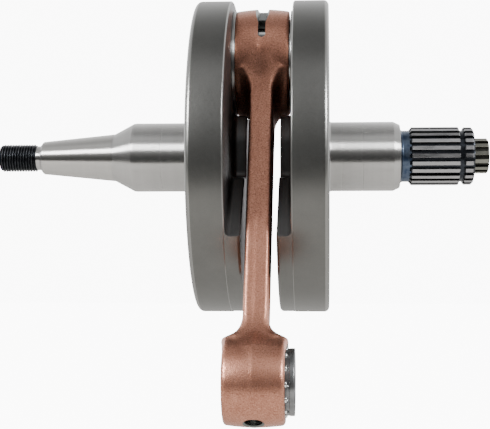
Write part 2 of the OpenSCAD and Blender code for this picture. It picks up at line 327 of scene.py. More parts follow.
class Nodes:
    """Short way to build one material's node tree."""

    def __init__(self, name):
        self.material = bpy.data.materials.new(name)
        self.material.use_nodes = True
        self.tree = self.material.node_tree
        self.shader = self.tree.nodes["Principled BSDF"]
        coords = self.tree.nodes.new("ShaderNodeTexCoord")
        self.place = coords.outputs["Object"]

    def add(self, kind, inputs=(), **settings):
        node = self.tree.nodes.new("ShaderNode" + kind)
        for key, value in settings.items():
            setattr(node, key, value)
        for key, value in dict(inputs).items():
            self.put(node.inputs[key], value)
        return node

    def put(self, socket, value):
        if isinstance(value, bpy.types.NodeSocket):
            self.tree.links.new(value, socket)
        else:
            socket.default_value = value

    def set(self, **inputs):
        names = {"color": "Base Color", "rough": "Roughness", "normal": "Normal"}
        for key, value in inputs.items():
            self.put(self.shader.inputs[names.get(key, key.title())], value)

    def noise(self, size, stretch=(1, 1, 1), detail=3.0, rough=0.55):
        """Noise whose blobs are about size mm across, stretched along the axes."""
        scale = [1 / (size * MM * s) for s in stretch]
        mapped = self.add("Mapping", {"Vector": self.place, "Scale": scale})
        return self.add("TexNoise", {
            "Vector": mapped.outputs[0], "Scale": 1.0, "Detail": detail, "Roughness": rough,
        }).outputs["Fac"]

    def ramp(self, value, low, high, to_low=0.0, to_high=1.0):
        return self.add("MapRange", {
            "Value": value, "From Min": low, "From Max": high,
            "To Min": to_low, "To Max": to_high,
        }).outputs["Result"]

    def mix(self, factor, a, b):
        node = self.add("Mix", data_type="RGBA")
        self.put(node.inputs[0], factor)
        self.put(node.inputs[6], a)
        self.put(node.inputs[7], b)
        return node.outputs[2]

    def math(self, operation, a, b=0.0):
        node = self.add("Math", operation=operation)
        self.put(node.inputs[0], a)
        self.put(node.inputs[1], b)
        return node.outputs[0]

    def bump(self, height, depth, normal=None):
        """Bump that raises the surface by up to depth mm."""
        node = self.add("Bump", {"Height": height, "Strength": 1.0, "Distance": depth * MM})
        if normal is not None:
            self.put(node.inputs["Normal"], normal)
        return node.outputs["Normal"]

    def radius(self):
        """Distance from the crank axis, in metres."""
        parts = self.add("SeparateXYZ", {"Vector": self.place}).outputs
        flat = self.add("CombineXYZ", {"Y": parts["Y"], "Z": parts["Z"]}).outputs[0]
        return self.add("VectorMath", {"Vector": flat}, operation="LENGTH").outputs["Value"]


def rgb(r, g, b):
    return (r, g, b, 1.0)


def blasted_steel(name, color, rough):
    """Steel with a fine, even, bead-blasted grain."""
    n = Nodes(name)
    cloud = n.noise(14, detail=4)
    grain = n.noise(0.35, detail=2)
    tone = n.math("ADD", n.math("MULTIPLY", cloud, 0.6), n.math("MULTIPLY", grain, 0.4))
    n.set(
        color=n.mix(n.ramp(tone, 0.35, 0.65), rgb(*[c * 0.85 for c in color]), rgb(*color)),
        metallic=1.0,
        rough=n.ramp(grain, 0.3, 0.7, rough * 0.92, rough * 1.12),
        normal=n.bump(grain, 0.008),
    )
    return n.material


def ground_steel(name="ground_steel", color=(0.55, 0.545, 0.535), rough=0.32, ring=0.12):
    """Turned and ground steel, with fine rings about X."""
    n = Nodes(name)
    around = n.add("Tangent", direction_type="RADIAL", axis="X")
    n.put(n.shader.inputs["Tangent"], around.outputs[0])
    n.shader.inputs["Anisotropic Rotation"].default_value = 0.25
    rings = n.noise(ring, stretch=(1, 400, 400), detail=2)
    bands = n.noise(2.5, stretch=(1, 60, 60), detail=3)
    cloud = n.noise(9, detail=4)
    dark = [c * 0.93 for c in color]
    tone = n.math("ADD", n.math("MULTIPLY", bands, 0.6), n.math("MULTIPLY", cloud, 0.4))
    n.set(
        color=n.mix(n.ramp(tone, 0.35, 0.65), rgb(*dark), rgb(*color)),
        metallic=1.0,
        rough=n.ramp(rings, 0.3, 0.7, rough * 0.9, rough * 1.2),
        anisotropic=1.0,
        normal=n.bump(rings, 0.0006),
    )
    return n.material


def tempered_steel():
    """Neck beside the splines, tinted blue by hardening."""
    n = Nodes("tempered_steel")
    rings = n.noise(0.2, stretch=(1, 300, 300), detail=2)
    cloud = n.noise(3, detail=4)
    n.set(
        color=n.mix(n.ramp(cloud, 0.35, 0.65), rgb(0.035, 0.055, 0.10), rgb(0.12, 0.15, 0.20)),
        metallic=1.0,
        rough=n.ramp(rings, 0.3, 0.7, 0.28, 0.4),
        normal=n.bump(rings, 0.003),
    )
    return n.material


def black_steel():
    """Blackened thread, with slightly brighter crests."""
    n = Nodes("black_steel")
    cloud = n.noise(1.5, detail=4)
    crest = n.ramp(n.radius(), (THREAD_R - 0.25) * MM, THREAD_R * MM)
    worn = n.math("MULTIPLY", crest, n.ramp(cloud, 0.35, 0.65, 0.2, 0.8))
    n.set(
        color=n.mix(worn, rgb(0.022, 0.024, 0.028), rgb(0.11, 0.115, 0.125)),
        metallic=1.0,
        rough=n.ramp(cloud, 0.3, 0.7, 0.3, 0.42),
        normal=n.bump(cloud, 0.004),
    )
    return n.material


def spline_steel(name, land_r, root_r, land, groove):
    """Splines: ground lands, and near-black grooves and flanks that are partly their own finish and partly painted
    shade between the teeth, told apart by their distance from the axis.
    """
    n = Nodes(name)
    cloud = n.noise(1.2, stretch=(4, 1, 1), detail=4)
    edge = (land_r + root_r) / 2
    on_land = n.ramp(n.radius(), (edge + 0.15) * MM, (land_r - 0.12) * MM)
    dark = n.mix(n.ramp(cloud, 0.35, 0.65), rgb(*[c * 0.6 for c in groove]), rgb(*groove))
    bright = n.mix(n.ramp(cloud, 0.35, 0.65), rgb(*[c * 0.85 for c in land]), rgb(*land))
    n.set(
        color=n.mix(on_land, dark, bright),
        metallic=1.0,
        rough=n.ramp(cloud, 0.3, 0.7, 0.24, 0.36),
        normal=n.bump(cloud, 0.004),
    )
    return n.material


def cage_steel():
    """Phosphated cage steel."""
    n = Nodes("cage_steel")
    grain = n.noise(0.3, detail=3)
    cloud = n.noise(4, detail=3)
    n.set(
        color=n.mix(n.ramp(cloud, 0.35, 0.65), rgb(0.16, 0.165, 0.17), rgb(0.27, 0.275, 0.28)),
        metallic=1.0,
        rough=n.ramp(grain, 0.3, 0.7, 0.26, 0.36),
        normal=n.bump(grain, 0.004),
    )
    return n.material


def polished_steel():
    """Rollers, needles and the crank pin."""
    n = Nodes("polished_steel")
    rings = n.noise(0.15, stretch=(1, 200, 200), detail=2)
    cloud = n.noise(5, detail=3)
    n.set(
        color=n.mix(n.ramp(cloud, 0.35, 0.65), rgb(0.72, 0.73, 0.71), rgb(0.84, 0.85, 0.83)),
        metallic=1.0,
        rough=n.ramp(rings, 0.3, 0.7, 0.14, 0.22),
        normal=n.bump(rings, 0.001),
    )
    return n.material


def copper_plating():
    """Matt copper plating over a shot-blasted forging, with speckles and darker patches."""
    n = Nodes("copper_plating")
    patch = n.noise(7, detail=5, rough=0.6)
    speckle = n.noise(0.45, detail=4, rough=0.7)
    dimple = n.noise(0.4, detail=2)
    flow = n.noise(2.2, detail=3)
    body = n.mix(n.ramp(patch, 0.3, 0.7), rgb(0.46, 0.205, 0.138), rgb(0.58, 0.275, 0.19))
    spots = n.mix(n.ramp(speckle, 0.36, 0.50), rgb(0.34, 0.15, 0.10), body)
    light = n.mix(n.ramp(speckle, 0.55, 0.72), spots, rgb(0.74, 0.385, 0.28))
    n.set(
        color=light,
        metallic=1.0,
        rough=n.ramp(speckle, 0.35, 0.65, 0.40, 0.28),
        normal=n.bump(dimple, 0.06, n.bump(flow, 0.03)),
    )
    return n.material


BLASTED = blasted_steel("blasted_steel", (0.165, 0.165, 0.158), 0.33)
# Inner faces of the webs and counterweights: their own rougher finish, with the colour a little darker than the
# rims as painted shade between the webs
INNER = blasted_steel("recess_steel", (0.15, 0.15, 0.15), 0.42)
EDGE = blasted_steel("turned_edge_steel", (0.30, 0.30, 0.29), 0.30)
GROUND = ground_steel()
TAPER_STEEL = ground_steel("taper_steel", (0.60, 0.59, 0.57), 0.33, 0.18)
BLUED = tempered_steel()
BLACK = black_steel()
# Near-black groove colours: the grooves' own darker finish, deepened as painted shade between the teeth
SPLINE_STEEL = spline_steel(
    "spline_steel", SPLINE_R, SPLINE_ROOT, (0.42, 0.42, 0.43), (0.045, 0.05, 0.06)
)
STUB_STEEL = spline_steel(
    "stub_steel", STUB_R, STUB_ROOT, (0.24, 0.24, 0.21), (0.05, 0.05, 0.045)
)
CAGE = cage_steel()
POLISHED = polished_steel()
MACHINED = ground_steel("machined_steel", (0.42, 0.43, 0.42), 0.33, 0.25)
SLOT_STEEL = blasted_steel("slot_steel", (0.17, 0.18, 0.17), 0.36)
# Near-black floor of the V cuts: painted shade at the bottom of each cut
SLOT_FLOOR_SHADE = blasted_steel("slot_floor_steel", (0.045, 0.05, 0.045), 0.50)
COPPER = copper_plating()

# ---------------------------------------------------------------- crank halves


def offset(outline, distance):
    """Moves a closed (y, z) outline, drawn counter-clockwise, outwards by a distance."""
    p = np.array(outline)
    along = np.roll(p, -1, 0) - np.roll(p, 1, 0)
    out = np.stack([along[:, 1], -along[:, 0]], 1)
    out /= np.linalg.norm(out, axis=1, keepdims=True)
    return p + out * distance


def counterweight_outline():
    """Counter-clockwise outline of the raised neck and counterweight, as (y, z)."""
    beyond = WEB_R + 6
    slope = (SHOULDER[1] - LEDGE[1]) / (SHOULDER[0] - LEDGE[0])
    tip_z = CRANK_PIN.z - math.sqrt(RECESS_R ** 2 - NECK_TOP ** 2)
    right = [
        (NECK_HALF, NECK_TURN, 8.0),
        (NECK_HALF, LEDGE[1], 3.0),
        (LEDGE[0], LEDGE[1], 4.0),
        (beyond, LEDGE[1] + slope * (beyond - LEDGE[0]), 0),
        (beyond, -beyond, 0),
    ]
    points = [(-y, z, r) for y, z, r in right]
    points += [(y, z, r) for y, z, r in reversed(right)]
    start = math.acos((CRANK_PIN.z - tip_z) / RECESS_R)
    steps = 12
    recess = []
    for k in range(steps + 1):
        a = start * (1 - 2 * k / steps)
        y, z = RECESS_R * math.sin(a), CRANK_PIN.z - RECESS_R * math.cos(a)
        recess.append((y, z, 1.2 if k in (0, steps) else 0))
    return rounded(points + recess, steps=8, closed=True)


def counterweight(side):
    """Raised neck and counterweight, with a fillet at the disc and a rounded top edge."""
    outline = counterweight_outline()
    edge = 0.45
    edge_steps = 4
    fillet_steps = 8
    fillet_turn = 80
    sunk = 0.4
    rings = []
    for k in range(edge_steps + 1):
        a = math.radians(90 * (1 - k / edge_steps))
        inset = edge * (1 - math.cos(a))
        rings.append((offset(outline, -inset), PAD_X + edge * (1 - math.sin(a))))
    for k in range(fillet_steps + 1):
        a = math.radians(fillet_turn * k / fillet_steps)
        reach = PAD_FILLET * (1 - math.cos(a))
        rings.append((offset(outline, reach), FLOOR_X - PAD_FILLET * (1 - math.sin(a))))
    rings.append((offset(outline, PAD_FILLET), FLOOR_X + sunk))
    # The pad takes the recess steel, a little darker as painted shade between the webs
    solid = loft("pad", [[(side * x, y, z) for y, z in ring] for ring, x in rings], INNER)
    rim = lathe("rim", rounded([
        (PAD_X - 1, 0, 0), (PAD_X - 1, PAD_R - 2, 0), (PAD_X, PAD_R - 0.7, 0.3),
        (PAD_X + 0.7, PAD_R, 0.5), (FLOOR_X + 2, PAD_R, 0), (FLOOR_X + 2, 0, 0),
    ]), BLASTED, 256, side=side)
    return combine(solid, rim, "INTERSECT")


def web(name, side):
    """One full-circle web with its counterweight and the hole for the crank pin."""
    turned_edge = (0.25, 0.97)
    disc = lathe("disc", rounded([
        (FLOOR_X, 0, 0), (FLOOR_X, WEB_R - 0.45, 0.25), (FLOOR_X + 0.45, WEB_R, 0.35),
        (WEB_OUT, WEB_R, WEB_CORNER), (WEB_OUT, 0, 0),
    ], 8), BLASTED, 256, side=side)
    # The web's inner face takes the recess steel, a little darker as painted shade between the webs
    paint(disc, INNER, lambda at, out: abs(at.x) < FLOOR_X + 0.01)
    paint(disc, EDGE, lambda at, out: turned_edge[0] < abs(out.x) < turned_edge[1])
    combine(disc, counterweight(side), "UNION")
    hole = lathe("hole", [
        (PAD_X - 1, 0), (PAD_X - 1, PIN_R + 1),
        (FLOOR_X - 0.3, PIN_R + 1), (FLOOR_X + 0.5, PIN_R),
        (WEB_OUT - 0.8, PIN_R), (WEB_OUT + 0.5, PIN_R + 1.3), (WEB_OUT + 0.5, 0),
    ], MACHINED, 128, side=side)
    combine(disc, move(hole, x_placed(0, CRANK_PIN)), "DIFFERENCE")
    disc.name = name
    return disc


def centre_drill(end):
    """End of a turned shaft: a 60 degree centre hole, as outline points towards the axis."""
    return [(end, 1.7, 0.15), (end - 1.5, 0.8, 0), (end - 2.6, 0.75, 0), (end - 3.0, 0, 0)]


def journal_root():
    """Outline points where a shaft leaves its web, up to the journal."""
    collar = 0.6
    sunk = 0.5
    return [
        (WEB_OUT - sunk, 0, 0), (WEB_OUT - sunk, JOURNAL_R + collar, 0),
        (WEB_OUT, JOURNAL_R + collar, 0), (WEB_OUT + collar, JOURNAL_R, 0.5),
    ]


def fine_groove(x, r, depth=0.06, width=0.3):
    """A turned line; the outer points keep its shading off the cylinder on each side."""
    return [
        (x - width, r, 0), (x - width / 2, r, 0), (x, r - depth, 0), (x + width / 2, r, 0),
        (x + width, r, 0),
    ]


def taper_r(x):
    return TAPER_R - TAPER_SLOPE * (x - TAPER_START)


def ignition_shaft():
    """Journal, cone, taper and the thread's core, with the keyway in the back of the taper."""
    taper_end_r = taper_r(TAPER_END)
    core_end = THREAD_END - 0.04
    outline = [
        *journal_root(),
        *fine_groove(36.6, JOURNAL_R),
        (IGN_JOURNAL_END - 1.0, JOURNAL_R, 0.4), (IGN_JOURNAL_END, JOURNAL_R - 0.12, 0.5),
        (TAPER_START, TAPER_R, 1.2),
        (TAPER_END - 0.9, taper_end_r + 0.09, 0.7), (TAPER_END, taper_end_r - 1.0, 0.3),
        (TAPER_END, RELIEF_R, 0.5), (THREAD_START, RELIEF_R, 0.2),
        (THREAD_START + 0.2, RELIEF_R - 0.6, 0), (core_end, RELIEF_R - 0.6, 0.2),
        *centre_drill(core_end),
    ]
    shaft = lathe("ignition_shaft", rounded(outline, 4), GROUND, 192, side=-1)
    return combine(shaft, keyway_cutter(), "DIFFERENCE")


def ignition_taper():
    """Sleeve over the taper in its own finish, with the keyway at the back."""
    first, last = TAPER_START + 0.4, TAPER_END - 1.2
    inside, outside = -2, 0.02
    sleeve = lathe("ignition_taper", [
        (first, taper_r(first) + inside), (first, taper_r(first) + outside),
        (last, taper_r(last) + outside), (last, taper_r(last) + inside),
    ], TAPER_STEEL, 192, loop=True, side=-1)
    return combine(sleeve, keyway_cutter(), "DIFFERENCE")


def keyway_cutter():
    """Disc of the Woodruff cutter, standing off the back of the taper."""
    half = KEYWAY_W / 2
    outline = [(-half, 0), (-half, KEYWAY_R), (half, KEYWAY_R), (half, 0)]
    disc = lathe("keyway", outline, SLOT_STEEL, 96)
    back = taper_r(KEYWAY_X) + KEYWAY_R - KEYWAY_DEPTH
    upright = Matrix.Rotation(math.radians(90), 4, "Y")
    return move(disc, Matrix.Translation((-KEYWAY_X, back, 0)) @ upright)


def thread():
    """Thread sleeve with a true helix, chamfered at both ends."""
    per_turn = 72
    per_pitch = 12
    steps = round((THREAD_END - THREAD_START) / THREAD_PITCH * per_pitch)
    depth = 0.61 * THREAD_PITCH
    chamfer = 0.75
    crest = 0.12
    slant = 0.7
    rings = []
    for i in range(steps + 1):
        x = THREAD_START + (THREAD_END - THREAD_START) * i / steps
        at_end = THREAD_R - chamfer + (THREAD_END - x)
        limit = min(THREAD_R, at_end, RELIEF_R + (x - THREAD_START))
        ring = []
        for k in range(per_turn):
            turn = k / per_turn
            phase = (x / THREAD_PITCH + turn) % 1.0
            flank = min(max((abs(2 * phase - 1) - crest) / slant, 0.0), 1.0)
            r = min(THREAD_R - depth * flank, limit)
            ring.append((-x, r * math.sin(2 * math.pi * turn), r * math.cos(2 * math.pi * turn)))
        rings.append(ring)
    core = RELIEF_R - 0.9
    for x in (THREAD_END, THREAD_START):
        rings.append([
            (-x, core * math.sin(2 * math.pi * k / per_turn),
             core * math.cos(2 * math.pi * k / per_turn)) for k in range(per_turn)
        ])
    return loft("ignition_thread", rings, BLACK, loop=True, sharp=50)


def drive_shaft():
    """Journal with two turned lines and a chamfered end."""
    outline = [
        *journal_root(),
        *fine_groove(28.0, JOURNAL_R, 0.04, 0.25),
        *fine_groove(35.3, JOURNAL_R, 0.05, 0.3),
        (DRV_JOURNAL_END - 2.4, JOURNAL_R, 0.5), (DRV_JOURNAL_END, JOURNAL_R - 1.1, 0.5),
        (DRV_JOURNAL_END, JOURNAL_R - 3.2, 0), (DRV_JOURNAL_END - 1, 0, 0),
    ]
    return lathe("drive_shaft", rounded(outline, 4), GROUND, 192)


def drive_neck():
    """Thinner neck between journal and splines, tinted by hardening."""
    outline = rounded([
        (DRV_JOURNAL_END - 0.3, 0, 0), (DRV_JOURNAL_END - 0.3, NECK_R + 0.9, 0),
        (DRV_JOURNAL_END + 0.1, NECK_R + 0.7, 0.2), (DRV_JOURNAL_END + 0.7, NECK_R, 0.6),
        (SPLINE_START + 0.6, NECK_R, 0), (SPLINE_START + 0.6, 0, 0),
    ], 4)
    return lathe("drive_neck", outline, BLUED, 160)


def splined(name, outer, root, teeth, turn, stops, material):
    """A splined bar about X. stops are (x, largest radius there), in order along the bar."""
    pitch = 360 / teeth
    share = 0.5
    land = pitch * share / 2
    soft = 0.1
    soft_turn = math.degrees(soft / outer)
    foot = soft_turn * 1.5
    tooth = [
        (-land, root + soft), (-land, outer - soft), (-land + soft_turn, outer),
        (land - soft_turn, outer), (land, outer - soft), (land, root + soft),
        (land + foot, root), (pitch / 2, root - 0.02), (pitch - land - foot, root),
    ]
    rings = []
    for x, limit in stops:
        ring = []
        for i in range(teeth):
            for a, r in tooth:
                t = math.radians(turn + i * pitch + a)
                r = min(r, limit)
                ring.append((x, -r * math.cos(t), r * math.sin(t)))
        rings.append(ring)
    return loft(name, rings, material, sharp=28)


def drive_splines():
    """Gear splines with the circlip groove turned into them."""
    g0, g1 = GROOVE
    stops = [
        (SPLINE_START, NECK_R + 0.1), (SPLINE_START + 0.9, SPLINE_R), (g0 - 0.25, SPLINE_R),
        (g0, SPLINE_R - 0.25), (g0, GROOVE_R), (g1, GROOVE_R), (g1, SPLINE_R - 0.6),
        (g1 + 0.45, SPLINE_R - 0.15), (SPLINE_END - 0.8, SPLINE_R - 0.15),
        (SPLINE_END - 0.1, SPLINE_R - 1.0), (SPLINE_END, SPLINE_R - 1.3),
    ]
    return splined(
        "drive_splines", SPLINE_R, SPLINE_ROOT, SPLINE_TEETH, SPLINE_TURN, stops, SPLINE_STEEL
    )


def drive_stub():
    """Small splined stub at the end, with its centre hole."""
    stops = [
        (SPLINE_END - 0.6, STUB_R), (STUB_END - 0.55, STUB_R), (STUB_END - 0.05, STUB_R - 0.6),
        (STUB_END, STUB_R - 0.75),
    ]
    bar = splined("drive_stub", STUB_R, STUB_ROOT, STUB_TEETH, STUB_TURN, stops, STUB_STEEL)
    drill = lathe("drill", [
        (STUB_END - 4.0, 0), (STUB_END - 3.6, 1.0), (STUB_END - 2.2, 1.05),
        (STUB_END + 0.2, 2.4), (STUB_END + 0.2, 0),
    ], MACHINED, 48)
    return combine(bar, drill, "DIFFERENCE", 28)


def crank_pin():
    """Hollow pin with chamfered ends."""
    x, hole = PIN_END, PIN_HOLE_R
    half = [
        (x - 1.2, hole, 0.3), (x, hole + 1.2, 0.3), (x, PIN_R - 1.0, 0.4), (x - 1.0, PIN_R, 0.4),
    ]
    other = [(-a, b, r) for a, b, r in reversed(half)]
    pin = lathe("crank_pin_turned", rounded(half + other, 4, closed=True), POLISHED, 128, loop=True)
    return move(pin, x_placed(0, CRANK_PIN))


def thrust_washer(name, side):
    """Flat ring on the pin, beside its web."""
    inner, outer = washer_low.x, washer_high.x
    r0, r1 = PIN_R + 0.1, washer_high.y
    ring = rounded([
        (inner, r0, 0.15), (inner, r1, 0.2), (outer, r1, 0.2), (outer, r0, 0.15),
    ], 4, closed=True)
    washer = lathe(name, ring, MACHINED, 160, loop=True, side=side)
    return move(washer, x_placed(0, CRANK_PIN))


# ---------------------------------------------------------------- bearings


def cage(name, half_len, r_in, r_out, count, window_half, window_w, turn, lip):
    """Roller cage about X: a ring with round-ended windows and slightly raised end rims."""
    ring = rounded([
        (-half_len, r_in, 0.15), (-half_len, r_out, 0.25), (-half_len + lip, r_out, 0.1),
        (-half_len + lip + 0.12, r_out - 0.1, 0.1), (half_len - lip - 0.12, r_out - 0.1, 0.1),
        (half_len - lip, r_out, 0.1), (half_len, r_out, 0.25), (half_len, r_in, 0.15),
    ], 3, closed=True)
    body = lathe(name, ring, CAGE, count * 12, loop=True)
    r = window_w / 2
    corner = r * 0.8
    outline = rounded([
        (-window_half, -r, corner), (window_half, -r, corner),
        (window_half, r, corner), (-window_half, r, corner),
    ], 4, closed=True)
    cutters = []
    for i in range(count):
        spin = Matrix.Rotation(math.radians(turn + i * 360 / count), 4, "X")
        rings = [[spin @ Vector((x, y, z)) for x, y in outline] for z in (r_in - 1, r_out + 1)]
        cutters.append(loft("window", rings, CAGE))
    return combine(body, joined("windows", cutters), "DIFFERENCE")


def roller(name, length, r, pitch_r, angle):
    """A roller with rounded edges, standing at its place round the bearing's axis."""
    h = length / 2
    outline = rounded([
        (-h + 0.05, 0, 0), (-h, r * 0.35, 0), (-h, r, 0.3), (h, r, 0.3), (h, r * 0.35, 0),
        (h - 0.05, 0, 0),
    ], 5)
    body = lathe(name, outline, POLISHED, 40)
    return move(body, x_placed(angle) @ Matrix.Translation((0, 0, pitch_r)))


def node_angle(node, centre):
    """Angle about X of a roller's middle, from the bearing's axis, in degrees."""
    low, high = box_mm(node)
    v = (low + high) / 2 - centre
    return math.degrees(math.atan2(-v.y, v.z))


def bearing(prefix, cage_node, body, centre, r_in, r_out, window_w, lip):
    """Cage and rollers of one bearing, each standing for its own CAD node."""
    low, high = box_mm(cage_node)
    middle = Vector(((low.x + high.x) / 2, centre.y, centre.z))
    rollers = sorted(n for n in frame["nodes"] if n.startswith(prefix))
    r_low, r_high = box_mm(rollers[0])
    length, r = r_high.x - r_low.x, (r_high.z - r_low.z) / 2
    v = (r_low + r_high) / 2 - middle
    pitch_r = math.hypot(v.y, v.z)
    first = node_angle(rollers[0], middle)
    window_half = length / 2 + 0.5
    ring = cage(
        cage_node + "_ring", (high.x - low.x) / 2, r_in, r_out, len(rollers), window_half,
        window_w, first, lip,
    )
    move(ring, Matrix.Translation(middle))
    dress(ring, body, cage_node)
    for node in rollers:
        piece = roller(node + "_ground", length, r, pitch_r, node_angle(node, middle))
        move(piece, Matrix.Translation(middle))
        dress(piece, body, node)


def dress(piece, body, node):
    """Puts a piece on its body, in place of its CAD node."""
    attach(piece, body)
    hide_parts(node)


# ---------------------------------------------------------------- connecting rod


def soft_max(a, b, r):
    """Larger of two distances, with the edge between them rounded to radius r."""
    inside = np.minimum(-r, np.maximum(a, b))
    return inside + np.hypot(np.maximum(r + a, 0), np.maximum(r + b, 0))


def soft_min(a, b, r):
    """Smaller of two distances, with a fillet of radius r where they meet."""
    outside = np.maximum(r, np.minimum(a, b))
    return outside - np.hypot(np.maximum(r - a, 0), np.maximum(r - b, 0))


def sweep_in(past, radius, length):
    """How far an arc has swung out, at a distance past its start."""
    past = np.clip(past, 0, length)
    return radius - np.sqrt(radius ** 2 - past ** 2)


def shank_half(v):
    """Half width of the shank at distance v from the big end, with its sweeps into the eyes."""
    share = np.clip((v - SWEEP_BIG) / (SWEEP_SMALL - SWEEP_BIG), 0, 1)
    half = SHANK_HALF_BIG + (SHANK_HALF_SMALL - SHANK_HALF_BIG) * share
    half = half + sweep_in(SWEEP_BIG - v, SWEEP_BIG_R, SWEEP_BIG_LENGTH)
    return half + sweep_in(v - SWEEP_SMALL, SWEEP_SMALL_R, SWEEP_SMALL_LENGTH)


def shank_half_t(v):
    """Half thickness of the shank, which flares out along X where it meets each eye."""
    half = SHANK_HALF_T + sweep_in(FLARE_BIG - v, FLARE_BIG_R, FLARE_BIG_LENGTH)
    return half + sweep_in(v - FLARE_SMALL, FLARE_SMALL_R, FLARE_SMALL_LENGTH)


def rod_distance(x, u, v):
    """Distance to the forging's surface; u is across the rod and v along it."""
    ax = np.abs(x)
    seam = SEAM_HEIGHT * np.exp(-(x / SEAM_WIDTH) ** 2)
    big_drop = BIG_CROWN * (ax / BIG_HALF_W) ** BIG_CROWN_POWER
    big = soft_max(np.hypot(u, v) - (BIG_R - big_drop) - seam, ax - BIG_HALF_W, BIG_EDGE_R)
    small_rim = SMALL_R - SMALL_CROWN * (ax / SMALL_HALF_W) ** SMALL_CROWN_POWER
    small = np.hypot(u, v - ROD_LENGTH) - small_rim - seam
    small = soft_max(small, ax - SMALL_HALF_W, SMALL_EDGE_R)

    # The shank: its faces lean, so they are scaled to stay near true distances
    width_lean, thick_lean = 0.9, 0.85
    inset = 0.3
    big_sunk, small_sunk = 7, 4
    crown = big_drop * np.clip((SWEEP_BIG - v) / SWEEP_BIG_LENGTH, 0, 1)
    width = (np.abs(u) - shank_half(v) + crown) * width_lean - seam
    thick = np.maximum((ax - shank_half_t(v)) * thick_lean, ax - BIG_HALF_W + inset)
    span = np.maximum(big_sunk - v, v - ROD_LENGTH + small_sunk)
    edge = SHANK_EDGE_R + SHANK_EDGE_BIG * np.clip((FLARE_BIG - v) / FLARE_BIG_LENGTH, 0, 1)
    edge = edge + SHANK_EDGE_SMALL * np.clip((v - FLARE_SMALL) / FLARE_SMALL_LENGTH, 0, 1)
    shank = np.maximum(soft_max(thick, width, edge), span)

    # The channel in each of its sides
    ends = np.maximum(BIG_R + CHANNEL_GAP - v, v - (ROD_LENGTH - SMALL_R - CHANNEL_GAP))
    channel = soft_max(np.abs(u) - (shank_half(v) - CHANNEL_RIM), ends, CHANNEL_CORNER_R)
    channel = soft_max(channel, (SHANK_HALF_T - CHANNEL_DEPTH) - ax, CHANNEL_FLOOR_R)
    shank = soft_max(shank, -channel, CHANNEL_EDGE_R)

    # Fillets into the eyes, widest at the middle, and the room left between the webs
    least, fade = 0.05, 3
    share = least + (1 - least) * np.clip(-width / fade, 0, 1)
    swell = SWELL_R * np.exp(-(x / SWELL_WIDTH) ** 2)
    shank = soft_min(shank, big, np.maximum(BIG_FILLET_R * share, swell))
    beyond_big = np.clip((np.hypot(u, v) - BIG_R) / ROOM_STEP, 0, 1)
    room = BIG_HALF_W - (BIG_HALF_W - ROOM_HALF_W) * beyond_big
    shank = np.maximum(shank, np.where(v < ROOM_END, ax - room, -BIG_HALF_W))
    return soft_min(shank, small, np.maximum(SMALL_FILLET_R * share, swell))


def surface_net(distance, low, high, step):
    """Quads over the zero surface of a distance function, each corner drawn onto it."""
    axes = [np.arange(a, b + step, step) for a, b in zip(low, high)]
    grid = np.meshgrid(*axes, indexing="ij")
    value = distance(*grid)
    inside = value < 0
    shape = np.array(value.shape) - 1
    corners = [(i, j, k) for i in (0, 1) for j in (0, 1) for k in (0, 1)]

    def corner(field, c):
        return field[tuple(slice(o, o + n) for o, n in zip(c, shape))]

    held = sum(corner(inside, c).astype(np.int8) for c in corners)
    mixed = (held > 0) & (held < 8)
    number = np.full(mixed.shape, -1)
    number[mixed] = np.arange(mixed.sum())
    total = np.zeros((mixed.sum(), 3))
    hits = np.zeros(mixed.sum())
    for a in corners:
        for axis in range(3):
            if a[axis]:
                continue
            b = tuple(o + (i == axis) for i, o in enumerate(a))
            fa, fb = corner(value, a)[mixed], corner(value, b)[mixed]
            crossed = (fa < 0) != (fb < 0)
            t = np.where(crossed, fa / np.where(crossed, fa - fb, 1), 0)
            at = np.tile(np.array(a, float), (len(fa), 1))
            at[:, axis] += t
            total += at * crossed[:, None]
            hits += crossed
    cells = np.argwhere(mixed)
    points = np.array(low) + (cells + total / hits[:, None]) * step
    faces = []
    for axis in range(3):
        one, two = [i for i in range(3) if i != axis]
        a = np.take(inside, range(value.shape[axis] - 1), axis)
        b = np.take(inside, range(1, value.shape[axis]), axis)
        for cell in np.argwhere(a != b):
            if 0 < cell[one] < shape[one] and 0 < cell[two] < shape[two]:
                quad = []
                for d1, d2 in ((0, 0), (1, 0), (1, 1), (0, 1)):
                    c = cell.copy()
                    c[one] -= d1
                    c[two] -= d2
                    quad.append(number[tuple(c)])
                faces.append(tuple(quad))
    nudge = 0.02
    flattest = 0.1
    for _ in range(4):
        here = distance(*points.T)
        slope = np.stack([
            distance(*(points + nudge * np.eye(3)[i]).T) - here for i in range(3)
        ], 1) / nudge
        points = points - slope * (here / np.maximum((slope ** 2).sum(1), flattest))[:, None]
    return points, faces


def arc_cutter(name, start, end, r0, r1, half_at):
    """Cutter that follows the big end's rim; half_at gives its half width along X."""
    steps = 16
    rings = []
    for k in range(steps + 1):
        t = start + (end - start) * k / steps
        inner, outer = half_at(t, r0), half_at(t, r1)
        c, s = -math.cos(math.radians(t)), math.sin(math.radians(t))
        rings.append([
            (-inner, r0 * s, r0 * c), (inner, r0 * s, r0 * c),
            (outer, r1 * s, r1 * c), (-outer, r1 * s, r1 * c),
        ])
    return loft(name, rings, SLOT_STEEL)


def window_half(t, _):
    """Half width of an oil window at an angle t, round at its far end."""
    past = math.radians(abs(t) - WINDOW_END) * BIG_R
    if past <= 0:
        return SLOT_HALF
    return max(math.sqrt(max(SLOT_HALF ** 2 - past ** 2, 0)), 0.04)


def groove_half(_, r):
    """Half width of the shallow groove between the V cuts, at a radius r."""
    spread, slant = 0.1, 0.6
    above = 0.45 if r < BIG_R else 1.6
    return SLOT_HALF + spread + above * slant


def bore_cutter(half_w, r):
    """Cutter for an eye's bore, with a chamfer at both ends."""
    past = half_w + 1
    mouth = r + BORE_CHAMFER + 1
    return lathe("bore", [
        (-past, 0), (-past, mouth), (-half_w + BORE_CHAMFER, r),
        (half_w - BORE_CHAMFER, r), (past, mouth), (past, 0),
    ], SLOT_STEEL, 192)


